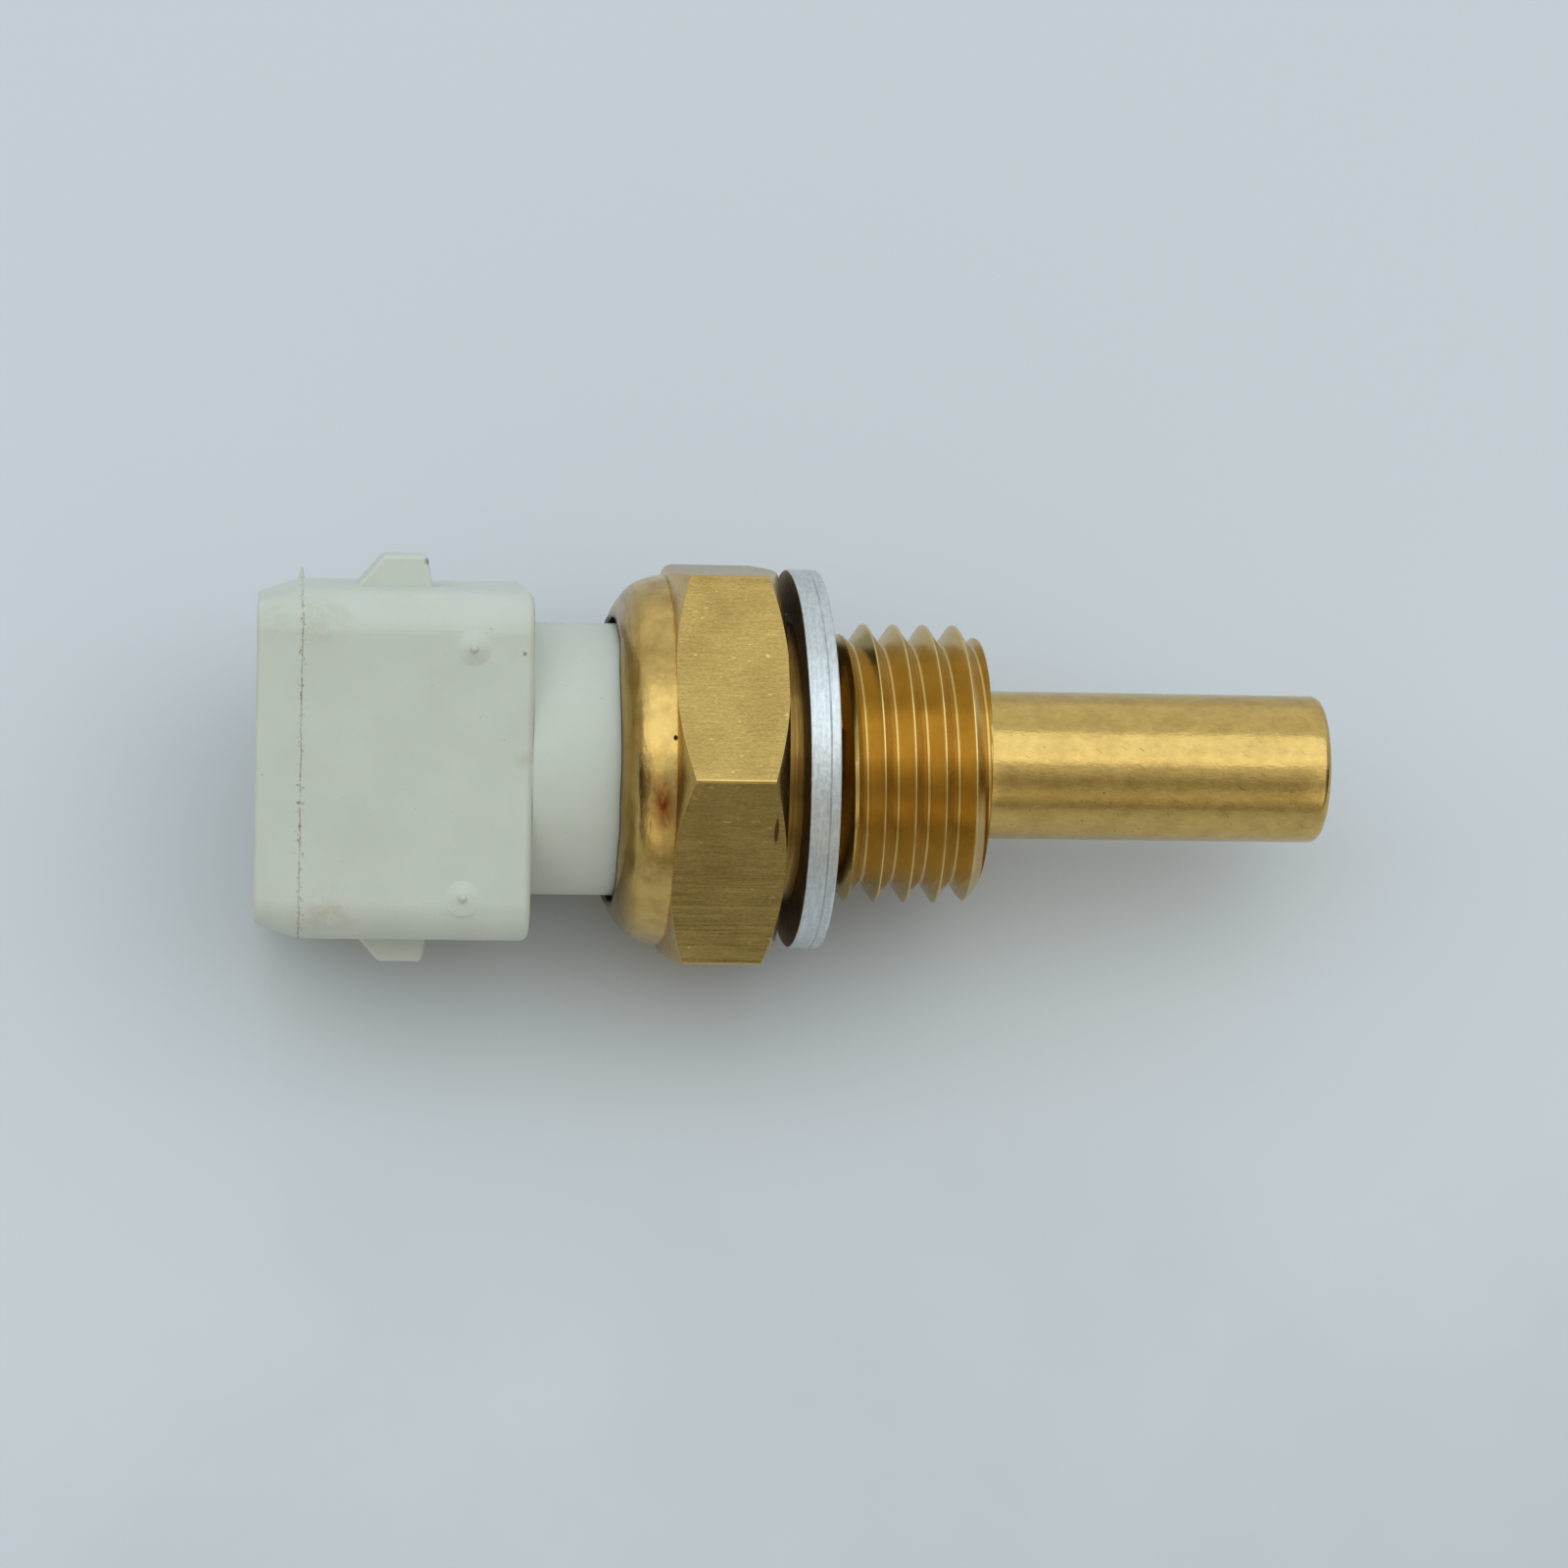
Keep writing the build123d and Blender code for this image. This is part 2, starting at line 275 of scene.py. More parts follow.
def screw_thread(bm):
    """Right-hand thread as one helical sheet, cut off in the relief and at the end face."""
    outline = thread_outline()
    verts = [bm.verts.new(place(NEAR_CREST_X + k * PITCH + offset, CREST_RADIUS - drop, NEAR_CREST_TURN))
             for k in CRESTS for offset, drop in outline]
    edges = [bm.edges.new(pair) for pair in zip(verts, verts[1:])]
    bmesh.ops.spin(bm, geom=verts + edges, cent=(0, 0, 0), axis=(1, 0, 0), angle=2 * pi, steps=SEGMENTS,
                   dvec=(PITCH / SEGMENTS, 0, 0))
    bmesh.ops.remove_doubles(bm, verts=bm.verts, dist=1e-4)
    for vert in bm.verts:
        radius = hypot(vert.co.y, vert.co.z)
        scale = min(radius, shank_limit(vert.co.x)) / radius
        vert.co.y *= scale
        vert.co.z *= scale
    for x, side in ((RELIEF_END_X - 0.2, -1), (THREAD_END_X - 0.02, 1)):
        bmesh.ops.bisect_plane(bm, geom=bm.verts[:] + bm.edges[:] + bm.faces[:], plane_co=(x, 0, 0),
                               plane_no=(side, 0, 0), clear_outer=True)


def open_rim(bm, lowest):
    """The boundary edges at the lower or the higher end of the sheet."""
    rim = [edge for edge in bm.edges if edge.is_boundary]
    middle = sum(edge.verts[0].co.x for edge in rim) / len(rim)
    return [edge for edge in rim if (edge.verts[0].co.x < middle) == lowest]


def grow(bm, edges, outline):
    """Extends an open rim through (station, radius) points, each a full ring."""
    for x, radius in outline:
        made = bmesh.ops.extrude_edge_only(bm, edges=edges)["geom"]
        for vert in only(made, bmesh.types.BMVert):
            vert.co = place(x, radius, degrees(turn_of(vert.co)))
        edges = only(made, bmesh.types.BMEdge)
    return edges


def close_on_axis(bm, edges):
    """Closes a rim with a fan to its centre."""
    verts = {vert for edge in edges for vert in edge.verts}
    centre = sum((vert.co for vert in verts), Vector()) / len(verts)
    made = bmesh.ops.extrude_edge_only(bm, edges=edges)["geom"]
    bmesh.ops.pointmerge(bm, verts=only(made, bmesh.types.BMVert), merge_co=centre)


def cut_hexagon(bm):
    """Cuts six flats on the blank, one of them facing down, and rounds their edges slightly."""
    for normal in HEX_NORMALS:
        cut = bmesh.ops.bisect_plane(bm, geom=bm.verts[:] + bm.edges[:] + bm.faces[:], dist=1e-5,
                                     plane_co=normal * KEY_HALF, plane_no=normal, clear_outer=True)
        bmesh.ops.contextual_create(bm, geom=only(cut["geom_cut"], bmesh.types.BMEdge))
    bmesh.ops.recalc_face_normals(bm, faces=bm.faces)
    # A flat has many corners, because its ends follow the blank's chamfers
    flats = [face for face in bm.faces
             if len(face.verts) > 12 and any(face.normal.dot(normal) > 0.9999 for normal in HEX_NORMALS)]
    edges = {edge for face in flats for edge in face.edges
             if abs(edge.verts[0].co.x - edge.verts[1].co.x) > 1.0}
    round_off(bm, list(edges), HEX_EDGE_ROUND, 3)


def lip_outline():
    """Outside of the rolled collar from the hexagon to the lip's edge, then back along its inside."""
    roll = arc((HEX_LEFT_X, COLLAR_RADIUS - ROLL_RADIUS), ROLL_RADIUS, 90, ROLL_END_TURN, 22)
    edge = arc((LIP_EDGE_X, LIP_RADIUS + LIP_EDGE_ROUND), LIP_EDGE_ROUND, 190, 270, 4)
    return roll + edge


def turned_brass():
    """The whole brass body: thread, relief, land, hexagon, rolled collar, bores and probe."""
    bm = bmesh.new()
    screw_thread(bm)
    blank_chamfer = (HEX_BLANK_RADIUS - HEX_END_RADIUS) * tan(radians(HEX_BLANK_CHAMFER))
    lip_inside_x = LIP_X + LIP_THICKNESS
    left = [
        (RELIEF_END_X - 0.3, RELIEF_RADIUS),
        (LAND_END_X + LAND_CHAMFER, RELIEF_RADIUS),
        (LAND_END_X, RELIEF_RADIUS + LAND_CHAMFER),
        (LAND_END_X, LAND_RADIUS - LAND_CHAMFER),
        (LAND_END_X - LAND_CHAMFER, LAND_RADIUS),
        (HEX_RIGHT_X + 0.5, LAND_RADIUS),
        *arc((HEX_RIGHT_X + LAND_FILLET, LAND_RADIUS + LAND_FILLET), LAND_FILLET, 270, 180, 3),
        (HEX_RIGHT_X, HEX_END_RADIUS - 0.5),
        (HEX_RIGHT_X, HEX_END_RADIUS),
        (HEX_RIGHT_X - blank_chamfer, HEX_BLANK_RADIUS),
        (HEX_LEFT_X + blank_chamfer, HEX_BLANK_RADIUS),
        (HEX_LEFT_X, HEX_END_RADIUS),
        *lip_outline(),
        (lip_inside_x, LIP_RADIUS),
        (lip_inside_x, COLLAR_BORE_RADIUS),
        (RING_END_X, COLLAR_BORE_RADIUS),
        (RING_END_X, SHANK_BORE_RADIUS),
        (SHANK_BORE_END_X, SHANK_BORE_RADIUS),
        (SHANK_BORE_END_X, PROBE_BORE_RADIUS),
        (PROBE_BORE_END_X, PROBE_BORE_RADIUS),
    ]
    right = [
        (THREAD_END_X, CREST_RADIUS - THREAD_END_CHAMFER - 0.15),
        *arc((THREAD_END_X + PROBE_ROOT_ROUND, PROBE_RADIUS + PROBE_ROOT_ROUND), PROBE_ROOT_ROUND,
             180, 270, 4),
        *[(THREAD_END_X + k, PROBE_RADIUS) for k in range(1, 17)],
        *arc((PROBE_END_X - PROBE_END_ROUND, PROBE_RADIUS - PROBE_END_ROUND), PROBE_END_ROUND, 90, 0, 6),
    ]
    left_rim, right_rim = open_rim(bm, True), open_rim(bm, False)
    close_on_axis(bm, grow(bm, left_rim, left))
    close_on_axis(bm, grow(bm, right_rim, right))
    clean(bm)
    cut_hexagon(bm)
    press_lip(bm)
    return bm


def press_lip(bm):
    """The rolled lip's edge waves a little, and is pressed further in on the side that looks up."""
    for vert in bm.verts:
        radius = hypot(vert.co.y, vert.co.z)
        if vert.co.x < LIP_X + LIP_WAVE_REACH and radius > LIP_RADIUS - 0.05:
            share = min(1.0, (LIP_X + LIP_WAVE_REACH - vert.co.x) / LIP_WAVE_REACH)
            wave = noise.noise(Vector((vert.co.y * LIP_WAVES_PER_MM, vert.co.z * LIP_WAVES_PER_MM,
                                       LIP_WAVE_SEED)))
            towards = cos(turn_of(vert.co) - radians(LIP_DENT_TURN))
            facing = min(1.0, max(0.0, (towards + LIP_DENT_START) / LIP_DENT_RISE))
            dent = facing * facing * (3 - 2 * facing)
            vert.co.x += share * (LIP_WAVE_DEPTH * wave + LIP_WAVE_OFFSET + LIP_DENT_DEPTH * dent)
            vert.co.y *= 1 + LIP_WAVE_SWELL * share * wave
            vert.co.z *= 1 + LIP_WAVE_SWELL * share * wave


# Finishes of the brass body, in the order of its materials
TURNED, DRAWN, ROLLED, THREADED, PROBE, LAND = range(6)


def brass_surface(face):
    """The finish of a face of the brass body, by where it is."""
    centre = face.calc_center_median()
    radius = hypot(centre.y, centre.z)
    outside_shank = radius > SHANK_BORE_RADIUS + 0.2
    if any(face.normal.dot(normal) > 0.999 and centre.dot(normal) > KEY_HALF - 0.02
           for normal in HEX_NORMALS):
        return DRAWN
    if centre.x < HEX_LEFT_X - 0.01 and radius > LIP_RADIUS - 0.2:
        return ROLLED
    if RELIEF_END_X - 0.25 < centre.x < THREAD_END_X + 0.01 and outside_shank:
        return THREADED
    if HEX_RIGHT_X < centre.x < RELIEF_END_X and outside_shank:
        return LAND
    if centre.x > THREAD_END_X and radius > PROBE_BORE_RADIUS + 0.1:
        return PROBE
    return TURNED


# Sealing washer


def washer_ring():
    """Stamped ring with a fine seam round its rim, leaning and shifted as it hangs loose on the shank."""
    seam_x = WASHER_BACK_X + WASHER_SEAM_SHARE * (WASHER_FACE_X - WASHER_BACK_X)
    corner = WASHER_RADIUS - WASHER_EDGE
    bm = turned([
        (WASHER_BACK_X, WASHER_BORE_RADIUS + WASHER_EDGE),
        (WASHER_BACK_X, corner),
        *arc((WASHER_BACK_X + WASHER_EDGE, corner), WASHER_EDGE, 150, 90, 2),
        (WASHER_BACK_X + WASHER_EDGE + WASHER_FACET, WASHER_RADIUS),
        (seam_x - WASHER_SEAM_HALF - WASHER_FACET, WASHER_RADIUS),
        (seam_x - WASHER_SEAM_HALF, WASHER_RADIUS),
        (seam_x, WASHER_RADIUS - WASHER_SEAM_DEPTH),
        (seam_x + WASHER_SEAM_HALF, WASHER_RADIUS),
        (seam_x + WASHER_SEAM_HALF + WASHER_FACET, WASHER_RADIUS),
        (WASHER_FACE_X - WASHER_EDGE - WASHER_FACET, WASHER_RADIUS),
        *arc((WASHER_FACE_X - WASHER_EDGE, corner), WASHER_EDGE, 90, 30, 2),
        (WASHER_FACE_X, corner),
        (WASHER_FACE_X, WASHER_BORE_RADIUS + WASHER_EDGE),
        (WASHER_FACE_X - WASHER_EDGE, WASHER_BORE_RADIUS),
        (WASHER_BACK_X + WASHER_EDGE, WASHER_BORE_RADIUS),
    ])
    lean = tan(radians(WASHER_LEAN))
    forward = place(0, 1, WASHER_LEAN_TURN)
    away = place(0, 1, WASHER_SHIFT_TURN)
    for vert in bm.verts:
        turn = turn_of(vert.co)
        ripple = WASHER_RIPPLE * noise.noise(Vector((1.7 * cos(turn), 1.7 * sin(turn), 0.6 * vert.co.x)))
        vert.co.x += ripple + lean * vert.co.dot(forward) - WASHER_BACKWARD
        vert.co += WASHER_SHIFT * away
    return bm


# White moulding. Its block is made level, with u along its width, then turned about the axis

CONNECTOR_FRAME = Matrix.Rotation(radians(CONNECTOR_TURN), 4, "X")
CONNECTOR_WIDTH = (0.0, cos(radians(CONNECTOR_TURN)), sin(radians(CONNECTOR_TURN)))
CONNECTOR_THICKNESS = (0.0, -sin(radians(CONNECTOR_TURN)), cos(radians(CONNECTOR_TURN)))


def rounded_prism():
    """The block's rounded rectangle, extruded from the end of the lead-in to the block's end."""
    bm = bmesh.new()
    start_x = MOUTH_X + LEAD_IN_LENGTH
    corners = [(1, 1), (-1, 1), (-1, -1), (1, -1)]
    bm.faces.new([bm.verts.new((start_x, u * BLOCK_HALF_WIDTH, n * BLOCK_HALF_THICKNESS))
                  for u, n in corners])
    round_off(bm, bm.verts[:], BLOCK_CORNER, 12, "VERTICES")
    extrude(bm, bm.faces[:][0], (BLOCK_END_X - start_x, 0, 0))
    return bm


def end_cap(bm, lowest):
    """The flat face that closes the block at its mouth or at its neck end."""
    caps = [face for face in bm.faces if abs(face.normal.x) > 0.99]
    caps.sort(key=lambda face: face.calc_center_median().x)
    return caps[0] if lowest else caps[-1]


def socket_block():
    """Block with its tapered mouth, rounded rims and the hollow of the socket."""
    bm = rounded_prism()
    round_off(bm, end_cap(bm, False).edges[:], BLOCK_END_ROUND, 4)
    cap = end_cap(bm, True)
    rim_width = SOCKET_WALL - LEAD_IN_DEPTH - SOCKET_MOUTH_CHAMFER
    bmesh.ops.inset_region(bm, faces=[cap], thickness=LEAD_IN_DEPTH, depth=LEAD_IN_LENGTH,
                           use_even_offset=True)
    mouth_edges = cap.edges[:]
    bmesh.ops.inset_region(bm, faces=[cap], thickness=rim_width, depth=0, use_even_offset=True)
    bmesh.ops.inset_region(bm, faces=[cap], thickness=SOCKET_MOUTH_CHAMFER,
                           depth=-SOCKET_MOUTH_CHAMFER_LENGTH, use_even_offset=True)
    bottom = bmesh.ops.extrude_discrete_faces(bm, faces=[cap])["faces"][0]
    depth = SOCKET_BACK_X - MOUTH_X - SOCKET_MOUTH_CHAMFER_LENGTH
    bmesh.ops.translate(bm, vec=(depth, 0, 0), verts=bottom.verts[:])
    round_off(bm, [edge for edge in mouth_edges if edge.is_valid], SOCKET_RIM_ROUND, 3)
    return bm


def round_end():
    """Neck, shoulder, seal gland and nose of the moulding."""
    return turned([
        (BLOCK_END_X - 1.2, 0),
        (BLOCK_END_X - 1.2, NECK_RADIUS - 0.5),
        (BLOCK_END_X - 0.05, NECK_RADIUS - 0.1),
        (BLOCK_END_X + 0.05, NECK_RADIUS),
        *[(BLOCK_END_X + 0.6 + k, NECK_RADIUS) for k in range(4)],
        (LIP_X + LIP_THICKNESS, NECK_RADIUS),
        (LIP_X + LIP_THICKNESS, SHOULDER_RADIUS),
        (RING_START_X, SHOULDER_RADIUS),
        (RING_START_X, GLAND_RADIUS),
        (RING_END_X, GLAND_RADIUS),
        (RING_END_X, NOSE_RADIUS),
        (NOSE_END_X - NOSE_CHAMFER, NOSE_RADIUS),
        (NOSE_END_X, NOSE_RADIUS - NOSE_CHAMFER),
        (NOSE_END_X, 0),
    ], NECK_SEGMENTS)


def latch_lug(side):
    """Wedge on a narrow side, with its edges rounded as the mould leaves them."""
    top_x = LUG_START_X + LUG_RAMP
    back_x = top_x + LUG_TOP
    top = BLOCK_HALF_WIDTH + LUG_HEIGHT
    base = BLOCK_HALF_WIDTH
    outline = [(LUG_START_X, base - LUG_SUNK), (LUG_START_X, base), (top_x, top), (back_x, top),
               (back_x + LUG_BACK, base), (back_x + LUG_BACK, base - LUG_SUNK)]
    bm = bmesh.new()
    face = bm.faces.new([bm.verts.new((x, side * u, -LUG_HALF_WIDTH)) for x, u in outline])
    extrude(bm, face, (0, 0, 2 * LUG_HALF_WIDTH))
    upper = [edge for edge in bm.edges if any(abs(vert.co.y) > base + 0.1 for vert in edge.verts)]
    round_off(bm, upper, LUG_EDGE_ROUND, 4)
    return bm


def pip(x, u):
    """Soft nub left on the face that looks up, with a small nipple at its centre."""
    outline = [(-0.3, 0.0), (-0.3, 0.9), (-0.01, 0.9), (0.02, 0.8), (0.05, 0.68), (0.09, 0.54), (0.13, 0.4),
               (0.16, 0.28), (0.19, 0.21), (0.27, 0.17), (0.33, 0.11), (0.35, 0.05), (0.355, 0.0)]
    bm = turned(outline, PIP_SEGMENTS)
    upright = Matrix.Rotation(radians(-90), 4, "Y")
    at = Matrix.Translation((x, u, BLOCK_HALF_THICKNESS))
    bmesh.ops.transform(bm, matrix=at @ upright, verts=bm.verts)
    return bm


def flash_fin():
    """Thin spike of flash that stands on the edge of the lead-in."""
    bm = bmesh.new()
    x = MOUTH_X + LEAD_IN_LENGTH
    foot = [(x - 0.25, -0.4), (x + 0.28, -0.4), (x + 0.06, 0.55), (x - 0.04, 0.6)]
    u, n = BLOCK_HALF_WIDTH - 0.05, 2.2 - BLOCK_HALF_THICKNESS
    extrude(bm, bm.faces.new([bm.verts.new((px, u + h, n)) for px, h in foot]), (0, 0, -0.5))
    return bm


def joined(name, parts, sharp_angle):
    """One closed mesh from overlapping closed parts."""
    objects = [finish_piece(f"{name}_{k}", bm, sharp_angle) for k, bm in enumerate(parts)]
    base = objects[0]
    for other in objects[1:]:
        union = base.modifiers.new("join", "BOOLEAN")
        union.operation = "UNION"
        union.solver = "EXACT"
        union.object = other
    bpy.context.view_layer.update()
    seen = base.evaluated_get(bpy.context.evaluated_depsgraph_get())
    mesh = bpy.data.meshes.new_from_object(seen)
    mesh.name = name
    for item in objects:
        bpy.data.objects.remove(item)
    shade_smooth(mesh, sharp_angle)
    piece = new_object(name, mesh)
    weighted = piece.modifiers.new("weighted normals", "WEIGHTED_NORMAL")
    weighted.keep_sharp = True
    return piece


def white_moulding():
    """Plug socket block, lugs, pips, flash and round end joined into one moulding."""
    parts = [socket_block(), latch_lug(-1), latch_lug(1), *[pip(x, u) for x, u in PIPS], flash_fin()]
    for bm in parts:
        bmesh.ops.transform(bm, matrix=CONNECTOR_FRAME, verts=bm.verts)
    return joined("plug_socket_moulding", [*parts, round_end()], 38.0)


# Materials

# Places of a Mix node's colour inputs and of its colour output
MIX_A, MIX_B, MIX_RESULT = 6, 7, 2


def linear(code):
    """Linear colour from an sRGB hex value."""
    channels = [int(code[k:k + 2], 16) / 255 for k in (1, 3, 5)]
    return [c / 12.92 if c <= 0.04045 else ((c + 0.055) / 1.055) ** 2.4 for c in channels] + [1.0]


def add(tree, kind, inputs=(), output=0, **settings):
    """Adds a node and returns an output of it; each input is given a value or the output that feeds it."""
    node = tree.nodes.new(kind)
    for name, value in settings.items():
        setattr(node, name, value)
    for name, value in (inputs if isinstance(inputs, dict) else dict(enumerate(inputs))).items():
        if isinstance(value, bpy.types.NodeSocket):
            tree.links.new(value, node.inputs[name])
        else:
            node.inputs[name].default_value = value
    return node.outputs[output]


class Finish:
    """A material as it builds up: its colour, its relief and the surface point in millimetres."""

    def __init__(self, name, colour, **sockets):
        """Starts from one colour and values on the shader, named with underscores for spaces."""
        self.material = bpy.data.materials.new(name)
        self.material.use_nodes = True
        self.tree = self.material.node_tree
        self.shader = self.tree.nodes["Principled BSDF"]
        for socket, value in sockets.items():
            self.shader.inputs[socket.replace("_", " ")].default_value = value
        metres = add(self.tree, "ShaderNodeTexCoord", output="Object")
        self.point = add(self.tree, "ShaderNodeVectorMath", {0: metres, "Scale": 1 / MM}, operation="SCALE")
        self.colour = linear(colour)
        self.relief = None

    def cover(self, mask, colour):
        """Lays a colour over what is there, where the mask is."""
        self.colour = add(self.tree, "ShaderNodeMix", {0: mask, MIX_A: self.colour, MIX_B: linear(colour)},
                          MIX_RESULT, data_type="RGBA")

    def shade(self, factor):
        """Makes the colour lighter or darker by a factor."""
        self.colour = add(self.tree, "ShaderNodeVectorMath", {0: self.colour, "Scale": factor},
                          operation="SCALE")

    def emboss(self, height, depth):
        """Adds relief from a height map whose full range is the given real depth in millimetres."""
        inputs = {"Height": height, "Distance": depth * MM}
        if self.relief is not None:
            inputs["Normal"] = self.relief
        self.relief = add(self.tree, "ShaderNodeBump", inputs)

    def done(self):
        """The material, once its colour and relief are linked to the shader."""
        self.tree.links.new(self.colour, self.shader.inputs["Base Color"])
        if self.relief is not None:
            self.tree.links.new(self.relief, self.shader.inputs["Normal"])
        return self.material


def grain(tree, point, size, detail=3.0, roughness=0.55):
    """Noise whose grain has a size in millimetres along X, Y and Z."""
    spread = add(tree, "ShaderNodeVectorMath", (point, [1 / side for side in size]), operation="MULTIPLY")
    return add(tree, "ShaderNodeTexNoise",
               {"Vector": spread, "Scale": 1.0, "Detail": detail, "Roughness": roughness})


def patch(tree, point, centre, reach, edge=0.3):
    """Mask about a place, with its reach along X, Y and Z: 1 inside, falling to 0 at the reach."""
    apart = add(tree, "ShaderNodeVectorMath", (point, centre), operation="SUBTRACT")
    apart = add(tree, "ShaderNodeVectorMath", (apart, reach), operation="DIVIDE")
    apart = add(tree, "ShaderNodeVectorMath", (apart,), "Value", operation="LENGTH")
    return add(tree, "ShaderNodeMapRange", (apart, edge, 1.0, 1.0, 0.0))


def both(tree, first, second):
    """Two masks, or a mask and its strength, multiplied."""
    return add(tree, "ShaderNodeMath", (first, second), operation="MULTIPLY")


def most(tree, masks):
    """The strongest of several masks at each point."""
    strongest = masks[0]
    for mask in masks[1:]:
        strongest = add(tree, "ShaderNodeMath", (strongest, mask), operation="MAXIMUM")
    return strongest


def from_axis(tree, point):
    """Distance from the sensor's axis."""
    flat = add(tree, "ShaderNodeVectorMath", (point, (0.0, 1.0, 1.0)), operation="MULTIPLY")
    return add(tree, "ShaderNodeVectorMath", (flat,), "Value", operation="LENGTH")


BRASS = "#D3B067"
BRASS_BROWN = "#946E38"
BRASS_DARK = "#4A3518"
BRASS_COPPER = "#8C4418"
BRASS_WORN = "#E2C88A"
LIP_BROWN = "#8E6A32"
LIP_DIRT_AND_SHADE = "#1E160C"
LAND_BROWN_AND_SHADE = "#7E5820"

# Centre and reach of marks on the brass
FLAT_NICK = (-2.93, -6.9, 7.0), (0.13, 0.75, 1.0)
HEAT_PATCH = (-8.4, -5.6, 7.2), (0.6, 1.6, 1.8)
COLLAR_SPECK = (-7.84, -2.87, 8.75), (0.12, 0.16, 0.3)


def brass(name, roughness, marks_size, depth, cloud_size, browning):
    """Yellow metal with tool marks of a given size and depth, and a brown film that lies in clouds."""
    finish = Finish(name, BRASS, Metallic=1.0, Roughness=roughness)
    tree = finish.tree
    # Real tool marks are about 0.05 mm wide, too fine to show, so they are drawn 0.1 to 0.18 mm wide
    finish.marks = grain(tree, finish.point, marks_size, 4.0, 0.65)
    cloud = grain(tree, finish.point, (cloud_size,) * 3, 4.0)
    finish.cover(add(tree, "ShaderNodeMapRange", (cloud, 0.42, 0.72, 0.0, browning)), BRASS_BROWN)
    worn = add(tree, "ShaderNodeMapRange", (finish.marks, 0.25, 0.75, roughness - 0.05, roughness + 0.05))
    tree.links.new(worn, finish.shader.inputs["Roughness"])
    finish.emboss(finish.marks, depth)
    return finish


def turned_finish():
    """Faces and bores left by the lathe: fine rings, satin shine."""
    return brass("turned_brass", 0.26, (0.1, 2.0, 2.0), 0.003, 1.6, 0.3).done()


def drawn_finish():
    """Skin of drawn hexagon bar: dull, with lines along the bar, fine grit and a few bright nicks."""
    finish = brass("drawn_brass_flats", 0.27, (1.3, 0.1, 0.1), 0.003, 2.4, 0.3)
    tree, point = finish.tree, finish.point
    grit = grain(tree, point, (0.2, 0.14, 0.14), 3.0, 0.7)
    lines = add(tree, "ShaderNodeMapRange", (finish.marks, 0.32, 0.68, 0.87, 1.05))
    speckle = add(tree, "ShaderNodeMapRange", (grit, 0.3, 0.7, 0.82, 1.12))
    shade = both(tree, both(tree, lines, speckle), 0.78)
    # Long brush marks, which darken the lower flat most
    brushed = add(tree, "ShaderNodeMapRange", (grain(tree, point, (5.0, 0.1, 0.1), 3.0, 0.6), 0.45, 0.62))
    height = add(tree, "ShaderNodeSeparateXYZ", (point,), "Z")
    brushed = both(tree, brushed, add(tree, "ShaderNodeMapRange", (height, 8.5, 1.5, 0.03, 0.24)))
    shade = add(tree, "ShaderNodeMath", (shade, brushed), operation="SUBTRACT")
    nicks = add(tree, "ShaderNodeMapRange",
                (grain(tree, point, (0.45, 0.16, 0.16), 1.0), 0.71, 0.76, 0.0, 0.5))
    finish.shade(add(tree, "ShaderNodeMath", (shade, nicks), operation="ADD"))
    finish.cover(both(tree, patch(tree, point, *FLAT_NICK, 0.6), 0.85), BRASS_DARK)
    finish.emboss(grit, 0.012)
    return finish.done()


def rolled_finish():
    """Collar smoothed by rolling: golden, ringed and browned towards the lip, with a heat-reddened patch."""
    finish = brass("rolled_brass_collar", 0.2, (0.18, 6.0, 6.0), 0.007, 1.2, 0.6)
    tree, point = finish.tree, finish.point
    rings = add(tree, "ShaderNodeMapRange", (finish.marks, 0.3, 0.7, 0.3, 1.0))
    station = add(tree, "ShaderNodeSeparateXYZ", (point,), "X")
    near_lip = add(tree, "ShaderNodeMapRange", (station, LIP_X + 1.8, LIP_X + 0.8, 0.0, 0.8))
    finish.cover(both(tree, near_lip, rings), LIP_BROWN)
    ragged = add(tree, "ShaderNodeMapRange", (grain(tree, point, (0.35, 0.8, 0.8), 4.0), 0.36, 0.56))
    broken = add(tree, "ShaderNodeMapRange", (ragged, 0.0, 1.0, 0.6, 1.0))
    finish.cover(both(tree, patch(tree, point, *HEAT_PATCH, 0.2), broken), BRASS_COPPER)
    speck = patch(tree, point, *COLLAR_SPECK, 0.6)
    # Darker at the lip's inner edge: dirt caught there, and painted shade of the narrow gap between lip and
    # neck
    edge = add(tree, "ShaderNodeMapRange", (from_axis(tree, point), LIP_RADIUS + 0.4, LIP_RADIUS + 0.12))
    edge = both(tree, edge, add(tree, "ShaderNodeMapRange", (ragged, 0.0, 1.0, 0.55, 0.95)))
    finish.cover(most(tree, [speck, edge]), LIP_DIRT_AND_SHADE)
    finish.emboss(ragged, 0.006)
    return finish.done()


def thread_finish():
    """Thread: satin, a little lighter where the crests are worn."""
    finish = brass("cut_brass_thread", 0.24, (0.12, 2.5, 2.5), 0.004, 1.2, 0.2)
    finish.shade(0.93)
    radius = from_axis(finish.tree, finish.point)
    finish.cover(add(finish.tree, "ShaderNodeMapRange",
                     (radius, CREST_RADIUS - 0.12, CREST_RADIUS - 0.04, 0.0, 0.6)), BRASS_WORN)
    return finish.done()


